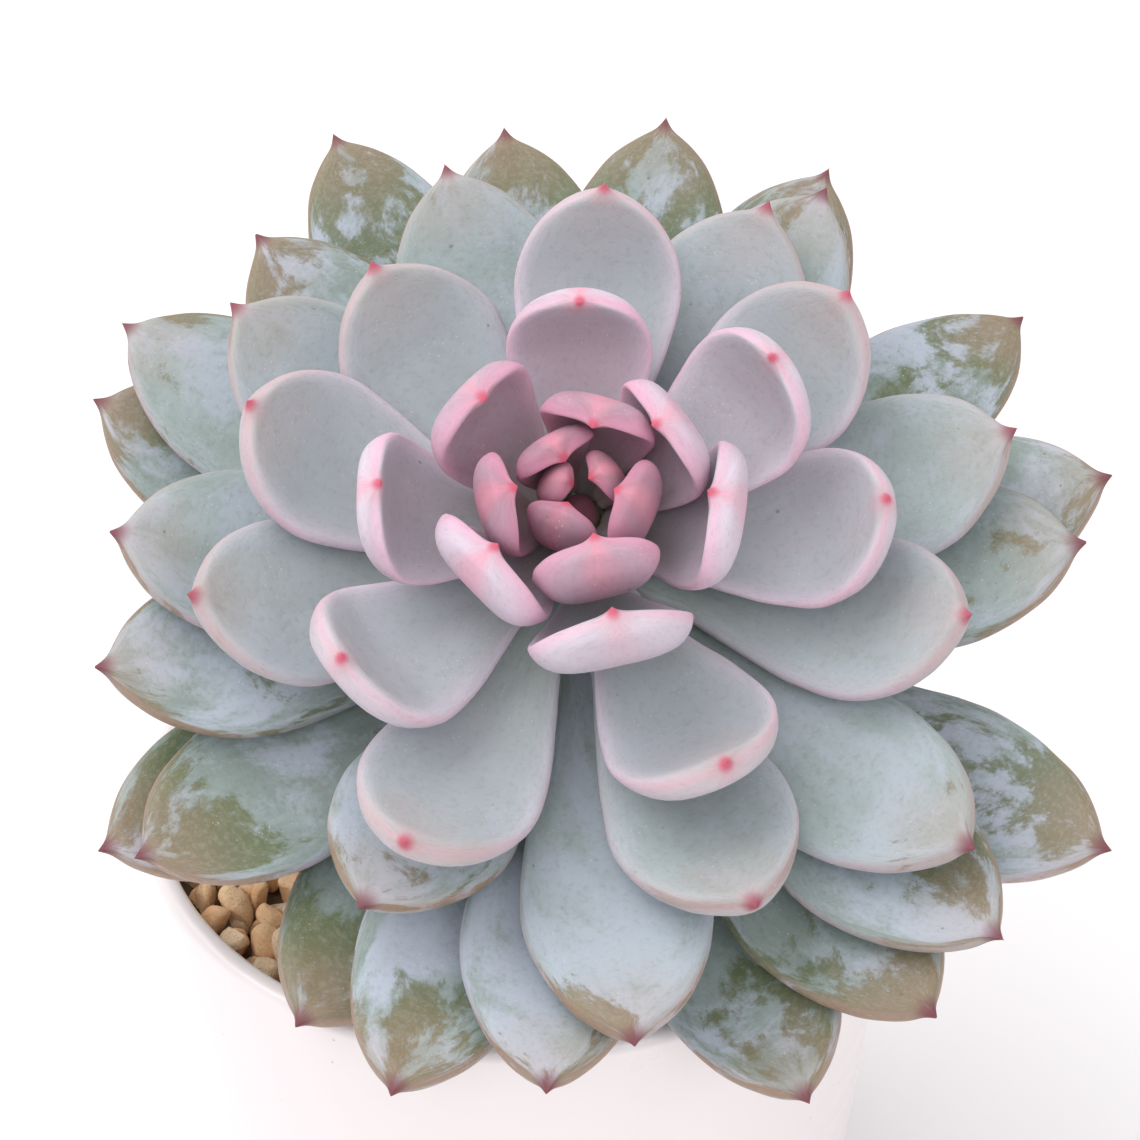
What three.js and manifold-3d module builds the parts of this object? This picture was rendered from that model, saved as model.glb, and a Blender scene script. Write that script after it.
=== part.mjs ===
// A rosette succulent on a short leaning stem, in a round glazed pot topped with small stones.
// Millimetres, +Z up. The origin is the centre of the pot's base, on the surface that it stands on.
// The rosette leans towards -Y.

import * as THREE from "three";
import { mergeVertices } from "three/addons/utils/BufferGeometryUtils.js";
import Module from "manifold-3d";

// Pot
const POT_HEIGHT = 92;
const POT_TOP_RADIUS = 57;
const POT_BASE_RADIUS = 50;
const POT_WALL = 3.6;
const POT_FLOOR = 5;
const POT_BASE_ROUND = 3;
const DRAIN_HOLES = 3;
const DRAIN_RADIUS = 4;
const DRAIN_CIRCLE_RADIUS = 24;
const POT_SIDES = 64;

// What fills the pot
const GRAVEL_BELOW_RIM = 4.5;
const GRAVEL_DEPTH = 7;
const STONE_COUNT = 96;
const STONE_RADIUS = 3.1;
const STONE_SHAPE = new THREE.Vector3(1.3, 1, 0.8);
const STONE_SIZES = [0.85, 1.15];
const STONE_SPIRAL_STEP = 137.5;
const STONE_SUNK_SHARE = 0.6;
const STONE_SEED = 7;
const FIT = 0.3;

// Stem and rosette
const STEM_ROOT_BACK = 10;
const STEM_ROOT_DEPTH = 30;
const STEM_RADIUS = 6;
const STEM_TIP_RADIUS = 2.2;
const STEM_TAPER_LENGTH = 16;
const STEM_SIDES = 12;
const STEM_STEPS = 10;
const STEM_BEND = 24;
const CROWN_HEIGHT = 66;
const CROWN_STEP = 0.5;
const CROWN_FORWARD = 22;
const CROWN_ASIDE = 8;
const ROSETTE_LEAN = 32;
const HEART_DEPTH = 5;

// Leaves, from the heart outwards
const SPIRAL_STEP = 136.75;
const SPIRAL_START = 286;
const LAST_PLACE = 60;
const FIRST_ROOT = 1;
const ROOT_SPACING = 0.62;
const ROOT_THICKNESS_SHARE = 0.124;
const ROOT_GAP = 0.4;
const HEART_REACH = 1;
const ROSETTE_REACH = 73;
const HEART_RISE = 2;
const TIP_RISE = 8;
const TIP_FALL = 30;
const LEAF_WIDTH = 26;
const HEART_LEAF_WIDTH = 6;
const LEAF_THICKNESS = 5;
const HEART_LEAF_THICKNESS = 2.2;
const LEAF_CLEARANCE = 0.25;
const SETTLE_STEP = 0.75;
const SETTLE_STEPS_BEFORE_SLIDE = 60;
const SETTLE_SLIDE = 0.1;
const CURVE_STEPS = 40;

// How the leaves change as they age, from 0 at the heart to 1 at the outermost: the ages at which something
// ends or spreads out, the powers that shape the reach, and degrees and shares from the youngest to the oldest.
const FILLING_AGE = 0.15;
const REACH_START = 1.25;
const REACH_SLOWING = 2.9;
const RISEN_AGE = 0.12;
const FALLEN_AGE = 0.8;
const OPENED_AGE = 0.67;
const HOOKED_AGE = 0.15;
const UNHOOKING_AGE = 0.5;
const POINTED_AGE = 0.45;
const SPREAD = [40, 12];
const HOOK = [54, 14];
const CHANNEL = [0.22, 0.08];
const HOOK_STARTS = 0.45;
const SPREAD_ENDS = 0.6;

// One row for each leaf: its place along the spiral, then how far this leaf strays from the even rosette,
// as degrees round the axis, and reach and lift of its tip in millimetres.
const LEAVES = [
  [0, 0, 0, 0],
  [1, 0, 0, 0],
  [2, 5, 0, 0],
  [3, -10, -2, 0],
  [4, 0, -2, 0],
  [5, 5, -1, 0],
  [6, -10, -5, 0],
  [7, 5, -4, 1],
  [8, 10, 0, 0],
  [9, -20, -7, 1],
  [10, 13, -6, 0],
  [11, 10, 3, -2],
  [12, -28, -10, 3],
  [13, 5, -2, 0],
  [14, 15, 0, 2],
  [15, -10, -12, 4],
  [17, -2, 0, 3],
  [18, 5, -1, 0],
  [19, 0, 5, 0],
  [20, 12, -2, 0],
  [21, 10, 1, 0],
  [22, -5, 1, 0],
  [23, 14, 2, 0],
  [24, -5, -4, 0],
  [25, 0, 0, 0],
  [26, 16, -2, 0],
  [27, 10, 0, 0],
  [28, 2, 0, 0],
  [29, 15, 1, 0],
  [30, 7, 1, 0],
  [32, 0, -1, 0],
  [33, 12, 3, 0],
  [34, 16, -2, 0],
  [35, 0, 0, 0],
  [36, 5, 2, 0],
  [37, -5, 8, 0],
  [38, 6, 0, 0],
  [39, -10, -12, 0],
  [40, -5, 0, 0],
  [41, 2, 6, 0],
  [42, -13, -5, 0],
  [44, 0, 1, 0],
  [45, 0, 0, 0],
  [47, 2, -3, 0],
  [48, 0, 0, 0],
  [49, -3, 3, 0],
  [50, 10, 1, 0],
  [51, 20, 0, 0],
  [52, 1, 1, 0],
  [53, 0, 8, 0],
  [54, 9, 5, 0],
  [55, -8, -2, 0],
  [56, 5, 0, 0],
  [57, -3, 2, 0],
  [59, -23, 12, 3],
  [60, 0, -6, 0],
];

// How far along a leaf each section stands, then its share of the leaf's width on a young, blunt leaf and on
// a grown, pointed one, and its share of the leaf's thickness.
const LEAF_SECTIONS = [
  [0.03, 0.3, 0.24, 0.55],
  [0.18, 0.46, 0.38, 0.8],
  [0.36, 0.7, 0.64, 0.95],
  [0.54, 0.9, 0.9, 1],
  [0.7, 1, 1, 0.95],
  [0.83, 0.97, 0.8, 0.85],
  [0.93, 0.74, 0.44, 0.65],
  [0.985, 0.34, 0.12, 0.36],
];

// A section's outline: how far aside of the leaf's half width, then its height above the middle line in
// half thicknesses and in depths of the leaf's hollow.
const LEAF_OUTLINE = [
  [1, 0, 1],
  [0.6, 0.8, 0],
  [0, 0.8, -1],
  [-0.6, 0.8, 0],
  [-1, 0, 1],
  [-0.65, -0.8, 0],
  [0, -1.2, 0],
  [0.65, -0.8, 0],
];

const wasm = await Module();
wasm.setup();

const radians = THREE.MathUtils.degToRad;
const lerp = THREE.MathUtils.lerp;
const smooth = (x) => THREE.MathUtils.smoothstep(x, 0, 1);

const gravelTop = POT_HEIGHT - GRAVEL_BELOW_RIM;
const gravelBase = gravelTop - GRAVEL_DEPTH;
const rosetteTurn = new THREE.Matrix4().makeRotationX(radians(ROSETTE_LEAN));
const axis = new THREE.Vector3(0, 0, 1).applyMatrix4(rosetteTurn);

// Thick leaves need their roots further apart along the stem.
const rootSpacing = Math.max(ROOT_SPACING, LEAF_THICKNESS * ROOT_THICKNESS_SHARE);

const materials = {
  pot: new THREE.MeshStandardMaterial({ color: 0xf3ecee, roughness: 0.25, metalness: 0 }),
  soil: new THREE.MeshStandardMaterial({ color: 0x3a2c22, roughness: 1, metalness: 0 }),
  gravel: new THREE.MeshStandardMaterial({ color: 0xc99a63, roughness: 0.9, metalness: 0 }),
  stem: new THREE.MeshStandardMaterial({ color: 0x8a7a62, roughness: 0.9, metalness: 0 }),
};
const HEART_COLOUR = new THREE.Color(0xf0a9b6);
const OUTER_COLOUR = new THREE.Color(0x9fb5ae);

// Even draws from 0 to 1 that come out the same on every run.
function seededRandom(seed) {
  let state = seed;
  return () => {
    state = (state * 1664525 + 1013904223) % 4294967296;
    return state / 4294967296;
  };
}

// A closed solid through rings of points, with a point at each end.
function loft(firstEnd, rings, lastEnd) {
  const sides = rings[0].length;
  const points = [firstEnd, ...rings.flat(), lastEnd];
  const index = [];
  const at = (ring, side) => 1 + ring * sides + (side % sides);
  const last = points.length - 1;
  for (let side = 0; side < sides; side += 1) {
    index.push(0, at(0, side + 1), at(0, side));
    for (let ring = 0; ring < rings.length - 1; ring += 1) {
      index.push(at(ring, side), at(ring, side + 1), at(ring + 1, side));
      index.push(at(ring, side + 1), at(ring + 1, side + 1), at(ring + 1, side));
    }
    index.push(last, at(rings.length - 1, side), at(rings.length - 1, side + 1));
  }
  const geometry = new THREE.BufferGeometry().setFromPoints(points);
  geometry.setIndex(index);
  return geometry;
}

// A closed geometry, where it stands, as a solid for joining and cutting.
function solid(geometry, matrix = new THREE.Matrix4()) {
  const bare = new THREE.BufferGeometry();
  bare.setAttribute("position", geometry.getAttribute("position").clone());
  if (geometry.index) bare.setIndex(geometry.index.clone());
  bare.applyMatrix4(matrix);
  const merged = mergeVertices(bare);
  return new wasm.Manifold(
    new wasm.Mesh({
      numProp: 3,
      vertProperties: merged.getAttribute("position").array,
      triVerts: new Uint32Array(merged.index.array),
    }),
  );
}

function geometryOf(manifold) {
  const { numProp, vertProperties, triVerts } = manifold.getMesh();
  const geometry = new THREE.BufferGeometry();
  const stored = new THREE.InterleavedBuffer(new Float32Array(vertProperties), numProp);
  geometry.setAttribute("position", new THREE.InterleavedBufferAttribute(stored, 3, 0));
  geometry.setIndex([...triVerts]);
  const plain = geometry.toNonIndexed();
  plain.computeVertexNormals();
  return plain;
}

function named(name, geometry, material) {
  const mesh = new THREE.Mesh(geometry, material);
  mesh.name = name;
  return mesh;
}

const outerRadiusAt = (z) => lerp(POT_BASE_RADIUS, POT_TOP_RADIUS, z / POT_HEIGHT);
const innerRadiusAt = (z) => outerRadiusAt(z) - POT_WALL;

// A full-round solid whose side follows the inside of the pot between two heights.
function potFilling(bottom, top) {
  return new THREE.LatheGeometry(
    [
      new THREE.Vector2(0, bottom),
      new THREE.Vector2(innerRadiusAt(bottom) - FIT, bottom),
      new THREE.Vector2(innerRadiusAt(top) - FIT, top),
      new THREE.Vector2(0, top),
    ],
    POT_SIDES,
  ).rotateX(Math.PI / 2);
}

function potBody() {
  const lip = POT_WALL / 2;
  const profile = [new THREE.Vector2(0, 0)];
  for (let step = 0; step <= 3; step += 1) {
    const turn = (Math.PI / 2) * (step / 3);
    profile.push(
      new THREE.Vector2(
        POT_BASE_RADIUS - POT_BASE_ROUND + POT_BASE_ROUND * Math.sin(turn),
        POT_BASE_ROUND - POT_BASE_ROUND * Math.cos(turn),
      ),
    );
  }
  for (let step = 0; step <= 6; step += 1) {
    const turn = Math.PI * (step / 6);
    profile.push(
      new THREE.Vector2(
        outerRadiusAt(POT_HEIGHT - lip) - lip + lip * Math.cos(turn),
        POT_HEIGHT - lip + lip * Math.sin(turn),
      ),
    );
  }
  profile.push(new THREE.Vector2(innerRadiusAt(POT_FLOOR), POT_FLOOR));
  profile.push(new THREE.Vector2(0, POT_FLOOR));
  let pot = solid(new THREE.LatheGeometry(profile, POT_SIDES).rotateX(Math.PI / 2));
  const hole = new THREE.CylinderGeometry(DRAIN_RADIUS, DRAIN_RADIUS, POT_FLOOR * 3, 16);
  hole.rotateX(Math.PI / 2);
  for (let count = 0; count < DRAIN_HOLES; count += 1) {
    const turn = (Math.PI * 2 * count) / DRAIN_HOLES;
    const place = new THREE.Matrix4().makeTranslation(
      DRAIN_CIRCLE_RADIUS * Math.sin(turn),
      DRAIN_CIRCLE_RADIUS * Math.cos(turn),
      0,
    );
    pot = pot.subtract(solid(hole, place));
  }
  return pot;
}

// The rosette's part of the stem, from its growing tip down to just below the lowest leaf.
const rosetteStemLength = LAST_PLACE * rootSpacing + STEM_RADIUS;

// The stem's radius at a distance below its growing tip.
function stemRadiusBelowTip(depth) {
  return lerp(STEM_TIP_RADIUS, STEM_RADIUS, smooth(depth / STEM_TAPER_LENGTH));
}

// The stem rises out of the soil, bends to the rosette's axis and runs up it. Extra widens it, for cutting.
function stemGeometry(crown, extra) {
  const onAxis = (depth) => crown.clone().addScaledVector(axis, -HEART_DEPTH - depth);
  const foot = new THREE.Vector3(0, STEM_ROOT_BACK, gravelBase - STEM_ROOT_DEPTH);
  const lowest = onAxis(rosetteStemLength);
  const path = new THREE.CubicBezierCurve3(
    foot,
    foot.clone().setZ(gravelTop + STEM_RADIUS),
    onAxis(rosetteStemLength + STEM_BEND),
    lowest,
  );
  const rings = [];
  const addRing = (centre, direction, radius) => {
    const side = new THREE.Vector3(1, 0, 0);
    const front = side.clone().cross(direction).normalize();
    const ring = [];
    for (let count = 0; count < STEM_SIDES; count += 1) {
      const turn = (Math.PI * 2 * count) / STEM_SIDES;
      const out = side.clone().multiplyScalar(Math.cos(turn)).addScaledVector(front, -Math.sin(turn));
      ring.push(centre.clone().addScaledVector(out, radius));
    }
    rings.push(ring);
  };
  for (let step = 0; step <= STEM_STEPS; step += 1) {
    const share = step / STEM_STEPS;
    const full = lerp(0.5, 1, smooth(share * 4));
    addRing(path.getPoint(share), path.getTangent(share), STEM_RADIUS * full + extra);
  }
  for (const share of [0.6, 0.4, 0.25, 0.12, 0.04]) {
    const depth = share * rosetteStemLength;
    addRing(onAxis(depth), axis, stemRadiusBelowTip(depth) + extra);
  }
  const end = foot.clone().setZ(foot.z - STEM_RADIUS - extra);
  return loft(end, rings, onAxis(-extra));
}

function makeSoil(stemRoom) {
  const body = solid(potFilling(POT_FLOOR + FIT, gravelBase - FIT));
  return named("soil", geometryOf(body.subtract(stemRoom)), materials.soil);
}

// The top dressing: a layer of stones laid in a spiral and bedded together.
function makeGravel(stemRoom) {
  const random = seededRandom(STONE_SEED);
  const bed = gravelTop - STONE_RADIUS * STONE_SUNK_SHARE;
  let gravel = solid(potFilling(gravelBase, bed));
  const reach = innerRadiusAt(gravelTop) - FIT - STONE_RADIUS * 1.5;
  const clear = STEM_RADIUS + STONE_RADIUS * 1.5;
  for (let count = 0; count < STONE_COUNT; count += 1) {
    const radius = reach * Math.sqrt((count + 0.5) / STONE_COUNT);
    const turn = count * radians(STONE_SPIRAL_STEP);
    const place = new THREE.Vector3(radius * Math.sin(turn), radius * Math.cos(turn), bed);
    const turned = new THREE.Euler(...[random(), random(), random()].map((draw) => draw * Math.PI * 2));
    const size = STONE_SHAPE.clone().multiplyScalar(lerp(...STONE_SIZES, random()));
    if (Math.hypot(place.x, place.y - STEM_ROOT_BACK) < clear) continue;
    const stone = new THREE.IcosahedronGeometry(STONE_RADIUS);
    const matrix = new THREE.Matrix4().compose(
      place,
      new THREE.Quaternion().setFromEuler(turned),
      size,
    );
    gravel = gravel.add(solid(stone, matrix));
  }
  return named("gravel", geometryOf(gravel.subtract(stemRoom)), materials.gravel);
}

// What the rosette's even growth gives a leaf at a place along the spiral.
function growth(place) {
  const age = place / LAST_PLACE;
  const rootDepth = HEART_DEPTH + FIRST_ROOT + place * rootSpacing;
  const filled = 1 - Math.exp(-age / FILLING_AGE);
  return {
    age,
    azimuth: SPIRAL_START + SPIRAL_STEP * place,
    rootDepth,
    rootRadius: stemRadiusBelowTip(rootDepth - HEART_DEPTH) + ROOT_GAP,
    reach: lerp(HEART_REACH, ROSETTE_REACH, 1 - (1 - age ** REACH_START) ** REACH_SLOWING),
    height: lerp(HEART_RISE, TIP_RISE, smooth(age / RISEN_AGE)) - TIP_FALL * smooth(age / FALLEN_AGE),
    width: lerp(HEART_LEAF_WIDTH, LEAF_WIDTH, filled),
    thickness: lerp(HEART_LEAF_THICKNESS, LEAF_THICKNESS, filled),
    spread: lerp(...SPREAD, smooth(age / OPENED_AGE)),
    hook: lerp(...HOOK, smooth((age - HOOKED_AGE) / UNHOOKING_AGE)),
    channel: lerp(...CHANNEL, smooth(age / OPENED_AGE)),
    pointed: smooth(age / POINTED_AGE),
  };
}

// A leaf's middle line: it leaves the root turned outwards by the spread, straightens, and ends turned
// inwards by the hook. Its ends are at the origin and at the leaf's length along +X.
function leafCurve(length, { spread, hook }) {
  const heading = (share) =>
    radians(
      hook * smooth((share - HOOK_STARTS) / (1 - HOOK_STARTS)) - spread * (1 - smooth(share / SPREAD_ENDS)),
    );
  const points = [new THREE.Vector3()];
  for (let step = 0; step < CURVE_STEPS; step += 1) {
    const turn = heading((step + 0.5) / CURVE_STEPS);
    const next = new THREE.Vector3(Math.cos(turn), 0, Math.sin(turn));
    points.push(next.add(points[step]));
  }
  const end = points[CURVE_STEPS];
  const chordTurn = Math.atan2(end.z, end.x);
  const scale = length / end.length();
  const upright = new THREE.Vector3(0, 1, 0);
  points.forEach((point) => point.applyAxisAngle(upright, chordTurn).multiplyScalar(scale));
  return new THREE.CatmullRomCurve3(points);
}

// A leaf along +X from its root at the origin, with its inner face up.
function leafGeometry(length, leaf) {
  const curve = leafCurve(length, leaf);
  const rings = LEAF_SECTIONS.map(([share, bluntShare, pointedShare, thicknessShare]) => {
    const half = (leaf.width * lerp(bluntShare, pointedShare, leaf.pointed)) / 2;
    const deep = (leaf.thickness * thicknessShare) / 2;
    const lift = leaf.channel * half;
    const centre = curve.getPoint(share);
    const along = curve.getTangent(share);
    const across = new THREE.Vector3(0, 1, 0);
    const up = along.clone().cross(across);
    return LEAF_OUTLINE.map(([aside, thick, hollow]) =>
      centre
        .clone()
        .addScaledVector(across, aside * half)
        .addScaledVector(up, thick * deep + hollow * lift),
    );
  });
  return loft(new THREE.Vector3(), rings, new THREE.Vector3(length, 0, 0));
}

// Where a leaf stands in the rosette's own frame, whose origin is the crown and whose +Z is its axis.
function leafMatrix(azimuth, rootRadius, rootDepth, rise) {
  return new THREE.Matrix4()
    .makeRotationZ(Math.PI / 2 - radians(azimuth))
    .multiply(new THREE.Matrix4().makeTranslation(rootRadius, 0, -rootDepth))
    .multiply(new THREE.Matrix4().makeRotationY(-rise));
}

// The leaves lie against each other: each one is turned down about its root until it clears those inside it.
// Where turning alone doesn't free it, its root also slides down the stem.
function makeLeaves() {
  const placed = [];
  return LEAVES.map(([place, turnNudge, reachNudge, liftNudge], order) => {
    const leaf = growth(place);
    const run = leaf.reach + reachNudge - leaf.rootRadius;
    const climb = leaf.height + liftNudge + leaf.rootDepth;
    const geometry = leafGeometry(Math.hypot(run, climb), leaf);
    const azimuth = leaf.azimuth + turnNudge;
    let rise = Math.atan2(climb, run);
    let matrix;
    let body;
    let slide = 0;
    const blocked = () => {
      matrix = leafMatrix(azimuth, leaf.rootRadius, leaf.rootDepth + slide, rise);
      body = solid(geometry, matrix);
      return placed.some((other) => body.minGap(other, LEAF_CLEARANCE * 2) < LEAF_CLEARANCE);
    };
    for (let step = 1; blocked(); step += 1) {
      rise -= radians(SETTLE_STEP);
      if (step > SETTLE_STEPS_BEFORE_SLIDE) slide += SETTLE_SLIDE;
    }
    placed.push(body);
    const name = "leaf_" + String(order + 1).padStart(2, "0");
    const tint = HEART_COLOUR.clone().lerp(OUTER_COLOUR, leaf.pointed);
    const material = new THREE.MeshStandardMaterial({ color: tint, roughness: 0.6, metalness: 0 });
    geometry.computeVertexNormals();
    const mesh = named(name, geometry, material);
    mesh.applyMatrix4(matrix);
    return mesh;
  });
}

// The rosette's place: its crown stands at its height above the rim, or as much higher as its leaves need to
// clear the pot.
function rosettePlace(pot, leaves) {
  let height = POT_HEIGHT + CROWN_HEIGHT;
  let place;
  const touching = (leaf) => {
    const body = solid(leaf.geometry, place.clone().multiply(leaf.matrix));
    return body.minGap(pot, LEAF_CLEARANCE * 2) < LEAF_CLEARANCE;
  };
  do {
    place = new THREE.Matrix4().makeTranslation(CROWN_ASIDE, -CROWN_FORWARD, height).multiply(rosetteTurn);
    height += CROWN_STEP;
  } while (leaves.some(touching));
  return place;
}

const pot = potBody();
const leaves = makeLeaves();
const place = rosettePlace(pot, leaves);
const crown = new THREE.Vector3().setFromMatrixPosition(place);
const stemRoom = solid(stemGeometry(crown, FIT));
const rosette = new THREE.Group().add(...leaves);
rosette.applyMatrix4(place);

const plant = new THREE.Group();
plant.add(named("pot", geometryOf(pot), materials.pot));
plant.add(makeSoil(stemRoom), makeGravel(stemRoom));
plant.add(named("stem", stemGeometry(crown, 0), materials.stem));
plant.add(rosette);

export default plant;
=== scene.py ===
"""A rosette succulent on a short leaning stem, in a round glazed pot topped with small stones.

Metres, +Z up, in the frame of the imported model. Each leaf, the stem, the pot and the gravel is a fine mesh
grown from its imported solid, which it replaces. The soil keeps its solid.
"""

import math
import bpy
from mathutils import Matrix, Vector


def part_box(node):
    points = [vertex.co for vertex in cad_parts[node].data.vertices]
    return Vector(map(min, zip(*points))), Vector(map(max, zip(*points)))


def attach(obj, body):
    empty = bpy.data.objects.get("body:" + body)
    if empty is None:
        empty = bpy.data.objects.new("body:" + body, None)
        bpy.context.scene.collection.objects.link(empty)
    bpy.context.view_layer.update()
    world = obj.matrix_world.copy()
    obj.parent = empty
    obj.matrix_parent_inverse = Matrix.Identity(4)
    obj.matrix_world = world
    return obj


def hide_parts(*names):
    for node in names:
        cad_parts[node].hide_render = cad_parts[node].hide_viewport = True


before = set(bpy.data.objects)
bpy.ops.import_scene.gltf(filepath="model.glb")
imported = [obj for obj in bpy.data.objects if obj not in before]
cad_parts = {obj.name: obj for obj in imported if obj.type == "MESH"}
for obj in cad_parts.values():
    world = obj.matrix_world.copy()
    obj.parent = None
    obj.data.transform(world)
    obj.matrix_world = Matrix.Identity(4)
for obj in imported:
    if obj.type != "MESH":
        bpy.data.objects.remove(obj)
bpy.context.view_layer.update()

from types import SimpleNamespace

import bpy
import numpy as np
from mathutils import Euler, Vector, noise

# How near two packed points are one, and how evenly a leaf's rings are spaced
SAME_PLACE = 1e-5
KNOT_EVENNESS = 1.6

# Leaves, as packed: the points of a ring start at a margin and go over the inner face.
LEAF_SIDES = 8
WIDEST_RING = 5
SECTION_ASIDE = (1, 0.6, 0, -0.6, -1, -0.65, 0, 0.65)
SECTION_FACE = (0, 0.9, 1, 0.9, 0, -0.9, -1, -0.9)
HEART_LEAVES = 12
MIDDLE_LEAVES = 30

# Leaves, as grown. Pairs go from the youngest leaf to the grown ones, and rows from root to tip.
LEAF_AROUND = 44
LEAF_ALONG = 60
LEAF_CROWDING = 1.5
GROWN_AGE = 0.4
MARGIN_FILL = (0.08, 0.22)
UNDER_FILL = (0.04, 0.17)
END_WIDTHS = (1, 1, 1, 1, 1, 1.05, 1.2, 1.5)
END_DEPTHS = (1, 1, 1.05, 1.1, 1.15, 1.25, 1.38, 1.75)
HOLLOW_FILL = (0.3, 0.3, 0.35, 0.45, 0.55, 0.75, 0.95, 1.1)
END_ROUNDING = (0, 0, 0, 0, 0.03, 0.08, 0.12, 0.14)
EASING_STARTS = 0.4
EASING_PASSES = 16
SWELL_HEIGHT, SWELL_SIZE = 0.00034, 0.013
RIPPLE_HEIGHT, RIPPLE_SIZE = 0.0001, 0.0045
ROOT_SHARE = 0.3
SPIKE_LENGTH, SPIKE_GROWTH = 0.0009, 0.0007
SPIKE_AGE = 1 / 3
SPIKE_RADIUS = 0.00095
SPIKE_SHARPNESS = 1.3
PATTERN_SHIFT = (0.173, 0.291, 0.117)
PATTERN_DEPTH = 0.002

# Stem
STEM_SIDES = 12
STEM_AROUND = 48
STEM_ALONG = 130
SCAR_SPACING = 0.0022
SCAR_TURN = 0.382
SCAR_WIDTH = 0.16
SCAR_RISE = 0.0016
SCAR_HEIGHT = 0.00028
BARK_SUNK = 0.0003
BARK_HEIGHT, BARK_SIZE = 0.00022, 0.003
HEART_DEPTH = 0.005

# Pot
POT_BASE_RADIUS = 0.05
POT_WALL = 0.0036
POT_FLOOR = 0.005
POT_BASE_ROUND = 0.003
POT_INSIDE_ROUND = 0.004
POT_CENTRE = 0.004
POT_FACET_LOSS = 0.00014
POT_AROUND = 160
THROWN_HEIGHT, THROWN_SIZE = 0.00016, 0.03
GROOVE_HEIGHT, GROOVE_SIZE = 0.00005, 0.0011
THROWN_SUNK = 0.00012
THROWN_FADE = 0.01
POT_MEAN_RADIUS = 0.055
DRAIN_HOLES = 3
DRAIN_CIRCLE_RADIUS = 0.024
DRAIN_SIDES = 40
# A hole's radius at each height, with both mouths a little open.
DRAIN_PROFILE = (
    (0.0052, -0.001), (0.0052, 0.0), (0.004, 0.0009), (0.004, 0.0044), (0.0048, 0.00505), (0.0048, 0.007),
)

# Gravel
GRAVEL_BELOW_RIM = 0.0045
GRAVEL_DEPTH = 0.007
BED_BELOW_TOP = 0.0062
BED_EDGE = 0.0004
BED_AROUND = 96
BED_HEIGHT, BED_SIZE = 0.0006, 0.002
# The bed's mark: the bed is painted dark brown, as painted shade under and between the stones.
BED_PAINTED_SHADE = -1.0
STONE_RADIUS = 0.0023
STONE_SPACING = 0.0038
STONE_LAYERS = (-0.0052, -0.0024)
STONE_TRIES = 6000
STONE_PLANES = 7
STONE_CUTS = (0.42, 0.86)
STONE_SHARPNESS = 34
STONE_SIZES = (0.8, 1.3)
STONE_SHAPE = (1.35, 1.0, 0.85)
STONE_ROUGHNESS = 0.06
STONE_SCATTER = 0.0006
STEM_SEARCH = 0.012
FIT = 0.0003

# Camera and set
CAMERA_DISTANCE = 0.34
CAMERA_ELEVATION = 34
CAMERA_DOWN = 35.72
CAMERA_ASIDE = 0.215
CAMERA_LENS = 84.3
SENSOR_WIDTH = 36
FLOOR_HALF = 15.0
FLOOR_CELLS = 24
FLOOR_BELOW = 0.0002
SKY = (1.0, 0.985, 0.99, 1)
SKY_STRENGTH = 0.8
LIT_PLACE = (0, 0, 0.1)
# name, place, width, power
LIGHTS = (
    ("key", (-0.5, 0.05, 1.0), 1.0, 7),
    ("fill", (0.7, -0.8, 0.7), 0.8, 2.2),
    ("front", (-0.15, -0.75, 0.95), 0.7, 1.7),
)


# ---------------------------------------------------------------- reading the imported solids


def joined(node):
    """A node's points, with those in one place joined, and its triangles as numbers of points."""
    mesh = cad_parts[node].data
    flat = np.empty(len(mesh.vertices) * 3)
    mesh.vertices.foreach_get("co", flat)
    places = flat.reshape(-1, 3)
    _, first, back = np.unique(
        np.round(places / SAME_PLACE).astype(int), axis=0, return_index=True, return_inverse=True
    )
    back = back.reshape(-1)
    return places[first], [[back[i] for i in face.vertices] for face in mesh.polygons]


def loft_rings(node, sides, first_end):
    """A lofted node's rings of points from one end to the other, with each end as a ring of one point.

    first_end is given the points and each one's level, counted from one end. It says whether that end
    is the first.
    """
    points, triangles = joined(node)
    near = {}
    for face in triangles:
        for one in face:
            near.setdefault(one, set()).update(face)
    ends = [one for one in near if len(near[one]) == sides + 1]

    def levels(start):
        level = {start: 0}
        edge = [start]
        while edge:
            grown = []
            for one in edge:
                for other in near[one]:
                    if other not in level:
                        level[other] = level[one] + 1
                        grown.append(other)
            edge = grown
        return level

    level = levels(ends[0])
    if not first_end(points, level):
        level = levels(ends[1])
    beside, above = {}, {}
    for face in triangles:
        for turn in range(3):
            a, b, c = face[turn], face[(turn + 1) % 3], face[(turn + 2) % 3]
            if level[a] == level[b] and level[c] == level[a] + 1:
                beside[a] = b
                above[a] = c
    count = max(level.values())
    start = next(one for one in above if level[one] == 1)
    rings = []
    for ring in range(1, count):
        row = [start]
        while len(row) < sides:
            row.append(beside[row[-1]])
        rings.append(row)
        start = above[start]
    first = next(one for one in ends if level[one] == 0)
    last = next(one for one in ends if level[one] == count)
    grid = np.array([[points[one] for one in row] for row in rings])
    return np.concatenate(
        [np.tile(points[first], (1, sides, 1)), grid, np.tile(points[last], (1, sides, 1))]
    )


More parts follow.
